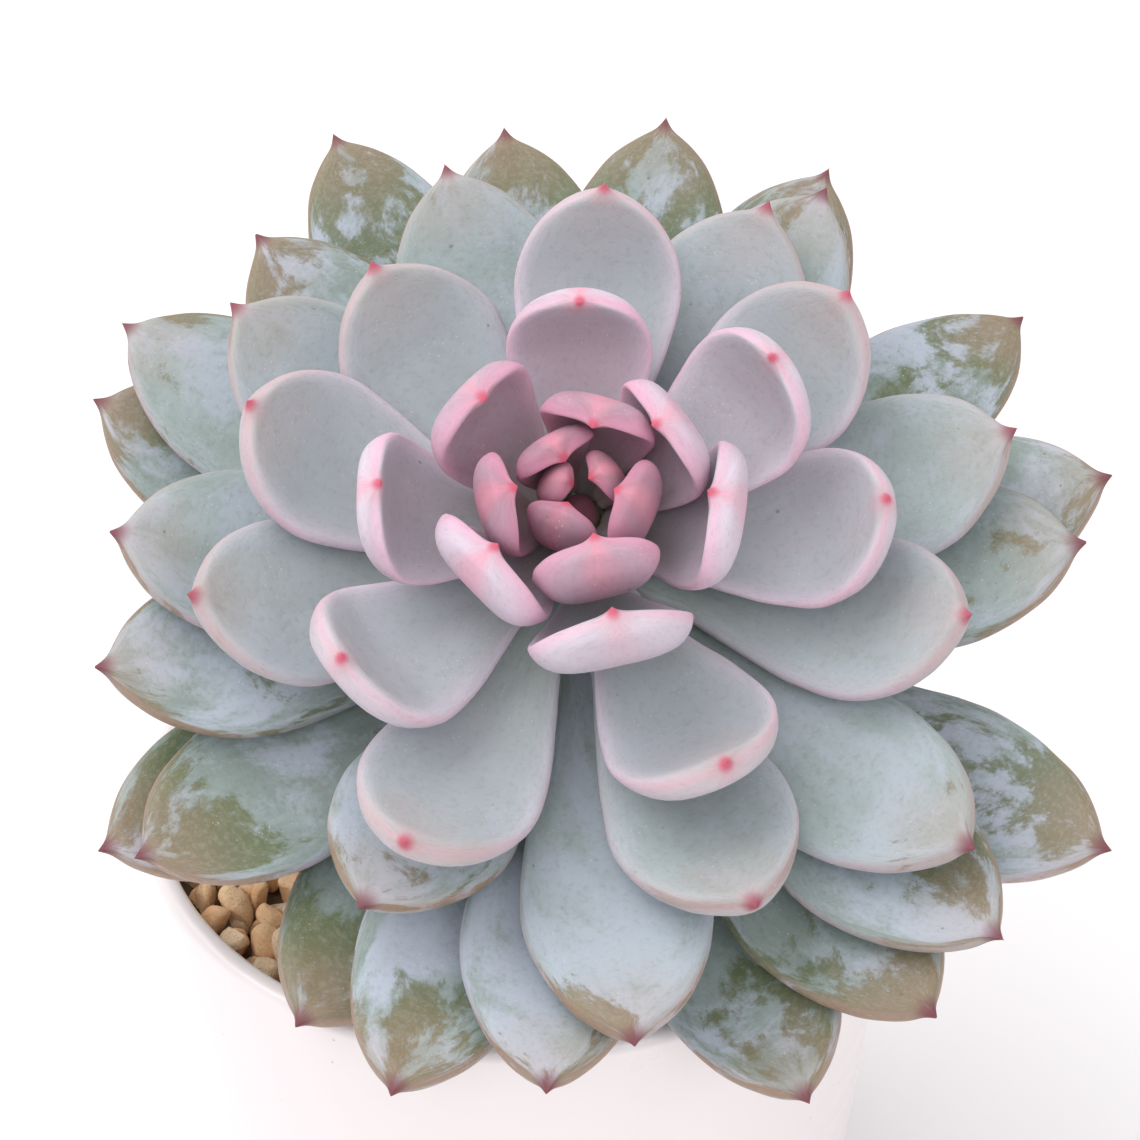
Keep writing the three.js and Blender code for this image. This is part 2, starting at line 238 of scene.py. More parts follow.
def leaf_rings(node):
    """A leaf's rings from root to tip, each starting at the same margin, with the inner face first."""

    def from_root(points, level):
        spans = {}
        for one, ring in level.items():
            spans.setdefault(ring, []).append(points[one])
        widths = {ring: np.ptp(np.array(group), axis=0).max() for ring, group in spans.items()}
        return max(widths, key=widths.get) == WIDEST_RING

    grid = loft_rings(node, LEAF_SIDES, from_root)
    wide = grid[WIDEST_RING]
    half = LEAF_SIDES // 2
    start = max(range(half), key=lambda side: np.linalg.norm(wide[side] - wide[side + half]))
    middle = (wide[start] + wide[start + half]) / 2
    one_face = np.linalg.norm(wide[(start + half // 2) % LEAF_SIDES] - middle)
    other_face = np.linalg.norm(wide[(start + half + half // 2) % LEAF_SIDES] - middle)
    # The inner face is the hollow one, so its middle lies nearer.
    if one_face > other_face:
        start += half
    return np.roll(grid, -start, axis=1)


# ---------------------------------------------------------------- making meshes


def spline(values, knots, at):
    """A smooth curve through the values at the knots, read off at the given places."""
    step = np.diff(knots)
    shape = (-1,) + (1,) * (values.ndim - 1)
    slope = np.diff(values, axis=0) / step.reshape(shape)
    lean = np.empty_like(values)
    before, after = step[:-1].reshape(shape), step[1:].reshape(shape)
    lean[1:-1] = (slope[:-1] * after + slope[1:] * before) / (before + after)
    lean[0] = 2 * slope[0] - lean[1]
    lean[-1] = 2 * slope[-1] - lean[-2]
    span = np.clip(np.searchsorted(knots, at, side="right") - 1, 0, len(step) - 1)
    width = step[span].reshape(shape)
    t = ((at - knots[span]) / step[span]).reshape(shape)
    return (
        (2 * t**3 - 3 * t**2 + 1) * values[span]
        + (t**3 - 2 * t**2 + t) * width * lean[span]
        + (3 * t**2 - 2 * t**3) * values[span + 1]
        + (t**3 - t**2) * width * lean[span + 1]
    )


def smooth_round(values, knots, around):
    """The spline closed on itself: values run round the first axis, and knots has one entry more."""
    turn = knots[-1] - knots[0]
    wrapped = np.concatenate([values[-3:], values, values[:4]])
    marks = np.concatenate([knots[-4:-1] - turn, knots[:-1], knots[:4] + turn])
    at = knots[0] + turn * np.arange(around) / around
    return spline(wrapped, marks, at)


def chord_knots(gaps):
    """Knots spaced by the square roots of the gaps between points, which keeps a spline from bulging."""
    return np.concatenate([[0], np.cumsum(np.sqrt(gaps))])


def fine_grid(grid, around, at_share):
    """A finer grid through a grid of rings, and the knots round a ring.

    It has around points in each ring, and rings at the given shares of the length.
    """
    gaps_along = np.linalg.norm(np.diff(grid, axis=0), axis=2).mean(axis=1)
    knots_along = chord_knots(gaps_along**KNOT_EVENNESS)
    long = spline(grid, knots_along, knots_along[-1] * at_share)
    middle = grid[1:-1]
    gaps_around = np.linalg.norm(np.roll(middle, -1, axis=1) - middle, axis=2).mean(axis=0)
    knots_around = chord_knots(gaps_around)
    fine = np.swapaxes(smooth_round(np.swapaxes(long, 0, 1), knots_around, around), 0, 1)
    return fine, knots_around


def eased(grid, shares):
    """A leaf's fine rings with the crease along the margin eased away, more so towards the tip."""
    amount = np.clip((shares - EASING_STARTS) / (1 - EASING_STARTS), 0, 1)[:, None, None] / 2
    for _ in range(EASING_PASSES):
        grid = grid + amount * ((np.roll(grid, 1, axis=1) + np.roll(grid, -1, axis=1)) / 2 - grid)
    return grid


def normals_of(grid):
    """Unit vectors square to a grid's surface, which is closed round its second axis."""
    along = np.gradient(grid, axis=0)
    round_ = np.roll(grid, -1, axis=1) - np.roll(grid, 1, axis=1)
    square = np.cross(round_, along)
    return square / np.maximum(np.linalg.norm(square, axis=2, keepdims=True), 1e-12)


def rough(points, size, seed):
    """Smooth noise from about -1 to 1 at each point, with bumps of the given size."""
    shift = Vector((seed * 7.31, seed * 3.17, seed * 5.77))
    flat = points.reshape(-1, 3) / size
    return np.array([noise.noise(Vector(p) + shift) for p in flat]).reshape(points.shape[:-1])


def tube_mesh(name, grid, first, last):
    """A closed mesh through a grid of rings, with a point at each end."""
    rings, around = grid.shape[:2]
    points = np.concatenate([[first], grid.reshape(-1, 3), [last]])
    end = len(points) - 1
    faces = []
    for side in range(around):
        beside = (side + 1) % around
        faces.append((0, 1 + beside, 1 + side))
        for ring in range(rings - 1):
            low = 1 + ring * around
            faces.append((low + side, low + beside, low + around + beside, low + around + side))
        low = 1 + (rings - 1) * around
        faces.append((low + side, low + beside, end))
    return solid_mesh(name, points, faces)


def solid_mesh(name, points, faces):
    mesh = bpy.data.meshes.new(name)
    mesh.from_pydata([tuple(p) for p in points], [], faces)
    mesh.shade_smooth()
    mesh.update()
    return mesh


def store(mesh, name, values):
    """Keeps one number, or one vector, for each point of a mesh."""
    values = np.asarray(values, dtype=np.float32)
    if values.ndim == 1:
        mesh.attributes.new(name, "FLOAT", "POINT").data.foreach_set("value", values)
    else:
        mesh.attributes.new(name, "FLOAT_VECTOR", "POINT").data.foreach_set("vector", values.reshape(-1))


def place(name, mesh, material, slot, node):
    """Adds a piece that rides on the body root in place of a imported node."""
    piece = bpy.data.objects.new(name, mesh)
    bpy.context.collection.objects.link(piece)
    mesh.materials.append(material)
    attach(piece, "root")
    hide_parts(node)
    return piece


# ---------------------------------------------------------------- materials


class Paint:
    """A material under construction: each call adds a node and gives back its output."""

    def __init__(self, name, **uniform):
        self.material = bpy.data.materials.new(name)
        self.material.use_nodes = True
        self.tree = self.material.node_tree
        self.tree.nodes.clear()
        self.shader = self.tree.nodes.new("ShaderNodeBsdfPrincipled")
        output = self.tree.nodes.new("ShaderNodeOutputMaterial")
        self.tree.links.new(self.shader.outputs[0], output.inputs[0])
        for socket, value in uniform.items():
            self.shader.inputs[socket.replace("_", " ")].default_value = value

    def feed(self, socket, value):
        if isinstance(value, bpy.types.NodeSocket):
            self.tree.links.new(value, socket)
        else:
            socket.default_value = value

    def node(self, kind, inputs, output=0, **settings):
        made = self.tree.nodes.new(kind)
        for name, value in settings.items():
            setattr(made, name, value)
        for key, value in inputs.items():
            self.feed(made.inputs[key], value)
        return made.outputs[output]

    def value(self, name):
        return self.node("ShaderNodeAttribute", {}, "Fac", attribute_name=name)

    def vector(self, name):
        return self.node("ShaderNodeAttribute", {}, "Vector", attribute_name=name)

    def where(self):
        return self.node("ShaderNodeTexCoord", {}, "Object")

    def stretched(self, vector, scale):
        return self.node("ShaderNodeVectorMath", {0: vector, 1: scale}, operation="MULTIPLY")

    def noise(self, vector, scale, detail=4, roughness=0.55, distortion=0):
        inputs = {
            "Vector": vector,
            "Scale": scale,
            "Detail": detail,
            "Roughness": roughness,
            "Distortion": distortion,
        }
        return self.node("ShaderNodeTexNoise", inputs, "Fac")

    def cells(self, vector, scale):
        return self.node("ShaderNodeTexVoronoi", {"Vector": vector, "Scale": scale}, "Distance")

    def step(self, value, low, high, to_low=0.0, to_high=1.0):
        return self.node(
            "ShaderNodeMapRange",
            {"Value": value, 1: low, 2: high, 3: to_low, 4: to_high},
            interpolation_type="SMOOTHSTEP",
        )

    def sum(self, *terms):
        total = terms[0]
        for term in terms[1:]:
            total = self.node("ShaderNodeMath", {0: total, 1: term}, operation="ADD")
        return total

    def times(self, *terms):
        total = terms[0]
        for term in terms[1:]:
            total = self.node("ShaderNodeMath", {0: total, 1: term}, operation="MULTIPLY")
        return total

    def size(self, value):
        return self.node("ShaderNodeMath", {0: value}, operation="ABSOLUTE")

    def either(self, a, b):
        return self.node("ShaderNodeMath", {0: a, 1: b}, operation="MAXIMUM")

    def mix(self, share, a, b):
        made = self.tree.nodes.new("ShaderNodeMix")
        made.data_type = "RGBA"
        for key, value in ((0, share), (6, a), (7, b)):
            self.feed(made.inputs[key], (*value, 1) if isinstance(value, tuple) else value)
        return made.outputs[2]

    def ramp(self, value, stops):
        made = self.tree.nodes.new("ShaderNodeValToRGB")
        band = made.color_ramp
        while len(band.elements) < len(stops):
            band.elements.new(0.5)
        for element, (position, colour) in zip(band.elements, stops):
            element.position = position
            element.color = (*colour, 1)
        self.feed(made.inputs[0], value)
        return made.outputs[0]

    def finish(self, colour, roughness, height, relief, strength):
        self.feed(self.shader.inputs["Base Color"], colour)
        self.feed(self.shader.inputs["Roughness"], roughness)
        bump = self.node(
            "ShaderNodeBump", {"Height": height, "Distance": relief, "Strength": strength}, "Normal"
        )
        self.feed(self.shader.inputs["Normal"], bump)
        return self.material


# Colours of a leaf. The flesh goes by age, from 0 at the heart to 1 outside.
FLESH = (
    (0.0, (0.30, 0.13, 0.18)),
    (0.12, (0.40, 0.21, 0.28)),
    (0.2, (0.45, 0.36, 0.42)),
    (0.32, (0.41, 0.42, 0.46)),
    (0.55, (0.29, 0.35, 0.34)),
    (1.0, (0.20, 0.255, 0.215)),
)
FOOT_GREEN = (0.22, 0.27, 0.20)
THIN_BLOOM = (0.39, 0.46, 0.47)
THICK_BLOOM = (0.47, 0.515, 0.61)
PALE = (0.76, 0.64, 0.76)
CLEAN_PINK = (0.74, 0.29, 0.44)
CORAL = (0.79, 0.27, 0.36)
CRIMSON = (0.62, 0.09, 0.16)
MAROON = (0.17, 0.03, 0.05)
WARM = (0.46, 0.33, 0.29)
MOSS = (0.11, 0.145, 0.05)
TAN = (0.28, 0.18, 0.11)
WORN_GRAIN = (0.36, 0.34, 0.29)
DARK_GRAIN = (0.16, 0.18, 0.16)
DARK_SPECK = (0.09, 0.09, 0.08)
DUST = (0.80, 0.82, 0.84)

# Scales of a leaf's patterns, in features per metre.
GRAIN_SCALE = 1300
CLOUD_SCALE = 70
STREAK_SCALE = 105
DRIFT_SCALE = 46
WAVER_SCALE = 130
RUBBED_SCALE = 58
SPECK_SCALE = 420
DUST_SCALE = 1500

# How far from a leaf's tip each colour reaches: one number, or one for young leaves and one for old.
CORAL_REACH = (0.0036, 0.003)
POINT_REACH = (0.0011, 0.0026)
WARM_REACH = 0.022
KEEL_REACH = 0.02
RUBBED_REACH = 0.026
SUN_REACH = 0.03


def leaf_material(name):
    """One recipe for all leaves, in which a leaf's age decides what shows."""
    p = Paint(
        name,
        Specular_IOR_Level=0.4,
        Subsurface_Weight=0.12,
        Subsurface_Radius=(0.006, 0.003, 0.002),
        Subsurface_Scale=0.5,
    )
    on = SimpleNamespace(
        age=p.value("age"),
        seed=p.value("seed"),
        along=p.value("along"),
        margin=p.size(p.value("aside")),
        face=p.value("face"),
        tip=p.value("tip"),
        spot=p.vector("spot"),
    )
    on.grain = p.noise(on.spot, GRAIN_SCALE, 3, 0.65)
    on.clouds = p.noise(on.spot, CLOUD_SCALE, 6, 0.62, 0.4)
    on.streaks = p.noise(p.stretched(on.spot, (1, 3.6, 1)), STREAK_SCALE, 7, 0.66, 0.5)
    drift = p.noise(p.stretched(on.spot, (1, 1.7, 1)), DRIFT_SCALE, 8, 0.66, 0.5)
    on.thick = p.step(p.sum(drift, p.times(on.grain, 0.09), p.times(on.along, 0.07)), 0.53, 0.69)
    on.worn = worn_places(p, on)

    colour = bloomed(p, on)
    colour = blushed(p, on, colour)
    colour = weathered(p, on, colour)
    colour = specked(p, on, colour)
    gloss = p.sum(p.step(on.worn, 0, 1, 0.55, 0.38), p.times(on.thick, 0.08), p.times(on.grain, 0.1))
    relief = p.sum(p.times(on.grain, 0.5), p.times(on.streaks, 0.8), p.times(on.worn, -0.35))
    return p.finish(colour, gloss, relief, 0.0002, 0.6)


def bloomed(p, on):
    """Flesh that is greener at the foot, under bloom in soft clouds, long streaks and thick drifts."""
    colour = p.ramp(on.age, FLESH)
    colour = p.mix(p.step(on.along, 0.55, 0.08, 0.0, 0.55), colour, FOOT_GREEN)
    powder = p.sum(p.times(on.clouds, 0.6), p.times(on.streaks, 0.4), p.times(on.grain, 0.12))
    thin = p.times(p.step(powder, 0.44, 0.68), p.step(on.age, 0.1, 0.45, 0.1, 0.6))
    colour = p.mix(thin, colour, THIN_BLOOM)
    thick = p.times(on.thick, p.step(on.age, 0.3, 0.85, 0.15, 0.85))
    return p.mix(thick, colour, THICK_BLOOM)


def blushed(p, on, colour):
    """Pale rims and undersides on the young leaves, pink margins, and coral running down from the tip."""
    rim = p.step(p.sum(on.margin, p.times(on.clouds, 0.3)), 0.5, 1.2)
    rim = p.either(rim, p.times(p.step(on.face, 0.5, -0.9), 0.75))
    young = p.times(p.step(on.age, 0.08, 0.2), p.step(on.age, 0.6, 0.26))
    colour = p.mix(p.times(rim, young, p.step(on.clouds, 0.25, 0.6, 0.35, 0.75)), colour, PALE)

    # In the heart the pink covers the whole leaf, and further out it draws back to the margin.
    waver = p.times(p.noise(on.spot, WAVER_SCALE, 5, 0.65), 0.4)
    starts, ends = p.step(on.age, 0.0, 0.35, 0.45, 1.04), p.step(on.age, 0, 0.3, 1.42, 1.27)
    blush = p.times(
        p.step(p.sum(on.margin, waver), starts, ends),
        p.step(on.age, 0.4, 0.1, 0.28, 0.68),
        p.step(on.along, 0.2, 0.7),
        p.step(on.clouds, 0.3, 0.6, 0.5, 1),
    )
    colour = p.mix(blush, colour, CLEAN_PINK)

    near_tip = p.step(on.tip, p.step(on.age, 0.25, 0.7, *CORAL_REACH), 0.0)
    colour = p.mix(p.times(near_tip, p.step(on.age, 0.7, 0.3, 0.12, 0.36)), colour, CORAL)
    warm_place = p.sum(
        p.times(p.step(on.tip, WARM_REACH, 0.002), 0.8),
        p.times(p.step(on.margin, 0.5, 1), 0.4),
        waver,
    )
    warm = p.times(p.step(warm_place, 0.5, 1.3), p.step(on.age, 0.2, 0.4))
    colour = p.mix(p.times(warm, 0.45), colour, WARM)
    keel = p.times(
        p.step(on.margin, 0.42, 0.0),
        p.step(on.face, 0.1, -0.8),
        p.step(on.tip, KEEL_REACH, 0.003),
        p.step(on.age, 0.36, 0.18),
        p.step(on.clouds, 0.35, 0.6, 0.15, 0.5),
    )
    return p.mix(keel, colour, CORAL)


def worn_places(p, on):
    """Where an old leaf's bloom is rubbed off: in patches, and sooner near the tip and the margins."""
    place = p.sum(
        p.noise(p.stretched(on.spot, (1, 1.5, 1)), RUBBED_SCALE, 10, 0.7, 0.35),
        p.times(on.grain, 0.1),
        p.times(p.step(on.tip, RUBBED_REACH, 0.003), 0.13),
        p.times(p.step(on.margin, 0.72, 1.0), 0.08),
        p.times(on.seed, 0.09),
        p.step(on.age, 0.35, 0.85, -0.22, 0.0),
    )
    return p.times(p.step(place, 0.645, 0.72), p.step(on.age, 0.4, 0.6))


def weathered(p, on, colour):
    """Moss green in the worn places, tanned towards the tip and the margins, and the tip's point."""
    sun = p.sum(
        p.times(p.step(on.tip, SUN_REACH, 0.002), 0.75),
        p.times(p.step(on.margin, 0.6, 1.0), 0.45),
        p.times(on.clouds, 0.4),
    )
    skin = p.mix(p.step(sun, 0.5, 1.2), MOSS, TAN)
    skin = p.mix(p.step(on.grain, 0.42, 0.72, 0.0, 0.35), skin, WORN_GRAIN)
    colour = p.mix(p.times(on.worn, 0.88), colour, skin)
    point = p.step(on.tip, p.step(on.age, 0.2, 0.7, *POINT_REACH), 0.0003)
    return p.mix(p.times(point, 0.9), colour, p.mix(p.step(on.age, 0.3, 0.6), CRIMSON, MAROON))


def specked(p, on, colour):
    """A powdery grain, and a scatter of small dark and pale specks."""
    colour = p.mix(p.step(on.grain, 0.5, 0.3, 0.0, 0.16), colour, DARK_GRAIN)
    chosen = p.step(p.noise(on.spot, 330, 1), 0.6, 0.66)
    specks = p.times(p.step(p.cells(on.spot, SPECK_SCALE), 0.13, 0.05), chosen)
    colour = p.mix(p.times(specks, 0.5), colour, DARK_SPECK)
    dusty = p.step(p.noise(on.spot, 200, 2), 0.48, 0.6)
    dust = p.times(p.step(p.cells(on.spot, DUST_SCALE), 0.17, 0.06), dusty)
    return p.mix(p.times(dust, 0.4), colour, DUST)


def pot_material():
    """White glaze with a slow mottle and a few specks, over clay that stays bare at the foot."""
    p = Paint("pot_glaze", Coat_Weight=0.35, Coat_Roughness=0.1, Specular_IOR_Level=0.5)
    spot = p.where()
    height = p.node("ShaderNodeSeparateXYZ", {0: spot}, 2)
    mottle = p.noise(spot, 40, 3, 0.5)
    fine = p.noise(spot, 1400, 3, 0.6)
    colour = p.mix(p.step(mottle, 0.2, 0.8), (0.80, 0.74, 0.75), (0.82, 0.76, 0.767))
    colour = p.mix(p.step(fine, 0.6, 0.8, 0.0, 0.3), colour, (0.88, 0.84, 0.835))
    specks = p.times(p.step(p.cells(spot, 330), 0.1, 0.04), p.step(p.noise(spot, 150, 1), 0.62, 0.68))
    colour = p.mix(p.times(specks, 0.55), colour, (0.42, 0.27, 0.20))
    bare = p.step(p.sum(height, p.times(p.noise(spot, 90, 3), 0.0012)), 0.0022, 0.0014)
    colour = p.mix(bare, colour, p.mix(fine, (0.55, 0.40, 0.30), (0.74, 0.60, 0.48)))
    gloss = p.either(p.step(mottle, 0.2, 0.8, 0.27, 0.31), p.times(bare, 0.85))
    waves = p.noise(spot, 28, 1)
    relief = p.sum(waves, p.times(fine, p.step(bare, 0, 1, 0.0, 0.9)))
    return p.finish(colour, gloss, relief, 0.0003, 0.1)


def gravel_material():
    """Porous tan stones, each with a tone of its own, in a bed painted dark brown as shade between them."""
    p = Paint("gravel_stone", Specular_IOR_Level=0.25)
    spot = p.where()
    shade = p.value("shade")
    colour = p.ramp(
        shade,
        (
            (0.0, (0.70, 0.38, 0.18)),
            (0.35, (0.86, 0.52, 0.28)),
            (0.7, (0.92, 0.64, 0.39)),
            (1.0, (0.94, 0.78, 0.58)),
        ),
    )
    patches = p.noise(spot, 520, 5, 0.65)
    pores = p.noise(spot, 2600, 4, 0.7)
    colour = p.mix(p.step(patches, 0.35, 0.7, 0.0, 0.5), colour, (0.92, 0.70, 0.47))
    colour = p.mix(p.step(pores, 0.5, 0.32, 0.0, 0.5), colour, (0.42, 0.23, 0.12))
    # The bed is painted dark brown: painted shade standing for the shadow between and under the stones.
    colour = p.mix(p.step(shade, BED_PAINTED_SHADE / 2, BED_PAINTED_SHADE), colour, (0.12, 0.075, 0.045))
    relief = p.sum(patches, p.times(pores, 0.6))
    return p.finish(colour, p.step(pores, 0.3, 0.7, 0.85, 0.98), relief, 0.0005, 0.8)


def stem_material():
    """Brown bark with pale scars, green near the crown and red at its tip."""
    p = Paint("stem_bark", Specular_IOR_Level=0.3)
    bark = p.noise(p.stretched(p.where(), (1, 1, 2.2)), 260, 7, 0.7, 0.4)
    height = p.value("height")
    colour = p.ramp(
        bark,
        (
            (0.25, (0.10, 0.08, 0.045)),
            (0.5, (0.25, 0.20, 0.12)),
            (0.75, (0.42, 0.36, 0.25)),
        ),
    )
    colour = p.mix(p.times(p.value("scar"), 0.7), colour, (0.50, 0.40, 0.27))
    colour = p.mix(p.times(p.step(height, 0.62, 0.95), 0.8), colour, (0.22, 0.28, 0.14))
    colour = p.mix(p.step(height, 0.95, 0.985), colour, (0.34, 0.13, 0.18))
    return p.finish(colour, p.step(bark, 0.3, 0.7, 0.9, 0.7), bark, 0.0006, 0.7)


def soil_material():
    """Dark fibrous mix with crumbs and pale grit."""
    p = Paint("soil_mix", Specular_IOR_Level=0.2)
    spot = p.where()
    crumbs = p.cells(spot, 480)
    fibre = p.noise(p.stretched(spot, (1, 3, 1)), 300, 6, 0.7, 0.6)
    colour = p.ramp(
        fibre,
        (
            (0.3, (0.018, 0.012, 0.008)),
            (0.55, (0.055, 0.036, 0.022)),
            (0.8, (0.16, 0.11, 0.07)),
        ),
    )
    grit = p.times(p.step(crumbs, 0.3, 0.12), p.step(p.noise(spot, 200, 1), 0.52, 0.6))
    colour = p.mix(grit, colour, (0.55, 0.46, 0.34))
    return p.finish(colour, p.step(fibre, 0.3, 0.7, 0.98, 0.85), p.sum(crumbs, fibre), 0.0012, 0.8)


def floor_material():
    p = Paint("floor_card", Specular_IOR_Level=0.2)
    spot = p.where()
    tone = p.noise(spot, 9, 3)
    colour = p.mix(tone, (0.90, 0.885, 0.89), (0.92, 0.905, 0.91))
    return p.finish(colour, p.step(tone, 0, 1, 0.8, 0.9), p.noise(spot, 2500, 2), 0.0001, 0.1)


# ---------------------------------------------------------------- the plant


def fleshed(grid, age):
    """A leaf's rings with the flesh that a coarse solid leaves out: full margins and a plump end."""
    grid = grid.copy()
    grown = min(1, age / GROWN_AGE)
    half_way = LEAF_SIDES // 2
    face_middle = half_way // 2
    for ring in range(1, len(grid) - 1):
        row = grid[ring]
        middle, half = (row[0] + row[half_way]) / 2, (row[0] - row[half_way]) / 2
        for side, (least, most) in ((1, MARGIN_FILL), (LEAF_SIDES - 1, UNDER_FILL)):
            share = least + (most - least) * grown + END_ROUNDING[ring - 1]
            row[side] += share * half
            row[half_way - side] -= share * half
        level = (row[1] + row[half_way - 1]) / 2
        row[face_middle] += HOLLOW_FILL[ring - 1] * (level - row[face_middle])
        off = row - middle
        across = half / np.linalg.norm(half)
        wide = (off @ across)[:, None] * across
        broader = 1 + (END_WIDTHS[ring - 1] - 1) * grown
        grid[ring] = middle + wide * broader + (off - wide) * END_DEPTHS[ring - 1]
    return grid


def leaf_slot(number):
    if number <= HEART_LEAVES:
        return "leaf_heart"
    return "leaf_middle" if number <= MIDDLE_LEAVES else "leaf_outer"


def make_leaf(number, material, slot):
    node = f"leaf_{number:02d}"
    age = (number - 1) / (LEAF_COUNT - 1)
    grid = fleshed(leaf_rings(node), age)
    shares = 1 - (1 - np.arange(1, LEAF_ALONG) / LEAF_ALONG) ** LEAF_CROWDING
    fine, knots = fine_grid(grid, LEAF_AROUND, shares)
    fine = eased(fine, shares)
    root, tip = grid[0, 0], grid[-1, 0]
    length = np.linalg.norm(tip - root)
    aside = smooth_round(np.array(SECTION_ASIDE, dtype=float), knots, LEAF_AROUND)
    face = smooth_round(np.array(SECTION_FACE, dtype=float), knots, LEAF_AROUND)
    from_tip = np.linalg.norm(fine - tip, axis=2)

    # Fleshy unevenness, fading out at the root.
    swell = SWELL_HEIGHT * rough(fine, SWELL_SIZE, number)
    ripple = RIPPLE_HEIGHT * rough(fine, RIPPLE_SIZE, number + 90)
    body = np.minimum(1, shares / ROOT_SHARE)[:, None]
    fine = fine + normals_of(fine) * ((swell + ripple) * body)[..., None]

    # The small point at the tip.
    outward = tip - fine[-LEAF_ALONG // 6].mean(axis=0)
    outward /= np.linalg.norm(outward)
    spike = SPIKE_LENGTH + SPIKE_GROWTH * min(1, age / SPIKE_AGE)
    fine = fine + outward * (spike * np.exp(-((from_tip / SPIKE_RADIUS) ** SPIKE_SHARPNESS)))[..., None]
    tip = tip + outward * spike

    mesh = tube_mesh(node + "_grown", fine, root, tip)
    count = len(mesh.vertices)

    def stored(name, inside, first, last):
        inside = np.broadcast_to(inside, fine.shape[:2]).reshape(-1)
        store(mesh, name, np.concatenate([[first], inside, [last]]))

    stored("aside", np.clip(aside, -1, 1)[None, :], 0, 0)
    stored("face", np.clip(face, -1, 1)[None, :], 0, 0)
    stored("along", shares[:, None], 0, 1)
    stored("tip", from_tip, length, 0)
    store(mesh, "age", np.full(count, age))
    store(mesh, "seed", np.full(count, draws.random()))

    # The patterns' own space: along the leaf, across it and through it, elsewhere for each leaf.
    half_width = np.linalg.norm(grid[:, 0] - grid[:, LEAF_SIDES // 2], axis=1).max() / 2
    spot = np.zeros((count, 3))
    spot[1:-1, 0] = np.repeat(shares * length, LEAF_AROUND)
    spot[1:-1, 1] = np.tile(aside * half_width, len(fine))
    spot[1:-1, 2] = np.tile(face * PATTERN_DEPTH, len(fine))
    spot[-1, 0] = length
    store(mesh, "spot", spot + number * np.array(PATTERN_SHIFT))
    place(node + "_grown", mesh, material, slot, node)


def leaf_scars(lap, turn):
    """How much of a scar lies at each place on the stem: scars are low, wide lozenges in a spiral.

    lap is the height of each ring in steps of the spiral, and turn the share of a turn round the stem.
    """
    nearest = np.round(lap)
    scar = np.zeros((len(lap), len(turn)))
    for offset in range(-3, 4):
        which = nearest + offset
        off_turn = (turn - which * SCAR_TURN + 0.5) % 1 - 0.5
        off_rise = (lap - which) * SCAR_SPACING
        scar = np.maximum(scar, 1.2 - (off_turn / SCAR_WIDTH) ** 2 - (off_rise / SCAR_RISE) ** 2)
    return np.minimum(scar, 1)


def make_stem():
    """Makes the stem and gives back the place of the rosette's heart, a little beyond its tip."""

    def from_root(points, level):
        return points[min(level, key=level.get)][2] < POT_HEIGHT

    grid = loft_rings("stem", STEM_SIDES, from_root)
    root, tip = grid[0, 0], grid[-1, 0]
    shares = np.arange(1, STEM_ALONG) / STEM_ALONG
    gaps = np.linalg.norm(np.diff(grid, axis=0), axis=2).mean(axis=1)
    knots = np.concatenate([[0], np.cumsum(gaps)])
    long = spline(grid, knots, knots[-1] * shares)
    even = np.arange(STEM_SIDES + 1.0)
    fine = np.swapaxes(smooth_round(np.swapaxes(long, 0, 1), even, STEM_AROUND), 0, 1)
    outward = fine - fine.mean(axis=1, keepdims=True)
    outward /= np.maximum(np.linalg.norm(outward, axis=2, keepdims=True), 1e-9)

    scar = leaf_scars((shares * knots[-1] / SCAR_SPACING)[:, None], np.arange(STEM_AROUND) / STEM_AROUND)
    # The root stub and the tip stay smooth.
    free = (np.clip((shares - 0.12) / 0.08, 0, 1) * np.clip((0.97 - shares) / 0.1, 0, 1))[:, None]
    height = (SCAR_HEIGHT * scar - BARK_SUNK + BARK_HEIGHT * rough(fine, BARK_SIZE, 4)) * free
    fine = fine + outward * height[..., None]
    mesh = tube_mesh("stem_grown", fine, root, tip)
    store(mesh, "scar", np.concatenate([[0], (scar * free).reshape(-1), [0]]))
    store(mesh, "height", np.concatenate([[0], np.repeat(shares, STEM_AROUND), [1]]))
    place("stem_grown", mesh, stem_material(), "stem", "stem")
    axis = tip - grid[-3].mean(axis=0)
    return tip + axis / np.linalg.norm(axis) * HEART_DEPTH


# ---------------------------------------------------------------- the pot and what fills it


def outer_radius(z):
    return POT_BASE_RADIUS + (POT_TOP_RADIUS - POT_BASE_RADIUS) * z / POT_HEIGHT


def inner_radius(z):
    return outer_radius(z) - POT_WALL


def pot_profile():
    """The radius and height of each ring: out under the base, up, over the lip and down the inside."""
    lip = POT_WALL / 2
    shoulder = POT_HEIGHT - lip
    foot = POT_BASE_RADIUS - POT_BASE_ROUND
    corner = inner_radius(POT_FLOOR) - POT_INSIDE_ROUND
    corner_top = POT_FLOOR + POT_INSIDE_ROUND
    quarter = math.pi / 2
    profile = [(r, 0.0) for r in np.linspace(POT_CENTRE, foot, 12)]
    for turn in np.linspace(0, quarter, 9)[1:]:
        out, up = POT_BASE_ROUND * math.sin(turn), POT_BASE_ROUND * (1 - math.cos(turn))
        profile.append((foot + out, up))
    profile += [(outer_radius(z), z) for z in np.linspace(POT_BASE_ROUND, shoulder, 46)[1:-1]]
    for turn in np.linspace(0, math.pi, 17):
        out, up = lip * (math.cos(turn) - 1), lip * math.sin(turn)
        profile.append((outer_radius(shoulder) + out, shoulder + up))
    profile += [(inner_radius(z), z) for z in np.linspace(shoulder, corner_top, 30)[1:]]
    for turn in np.linspace(0, quarter, 6)[1:]:
        out, down = POT_INSIDE_ROUND * math.cos(turn), POT_INSIDE_ROUND * math.sin(turn)
        profile.append((corner + out, corner_top - down))
    profile += [(r, POT_FLOOR) for r in np.linspace(corner, POT_CENTRE, 10)[1:]]
    return np.array(profile)


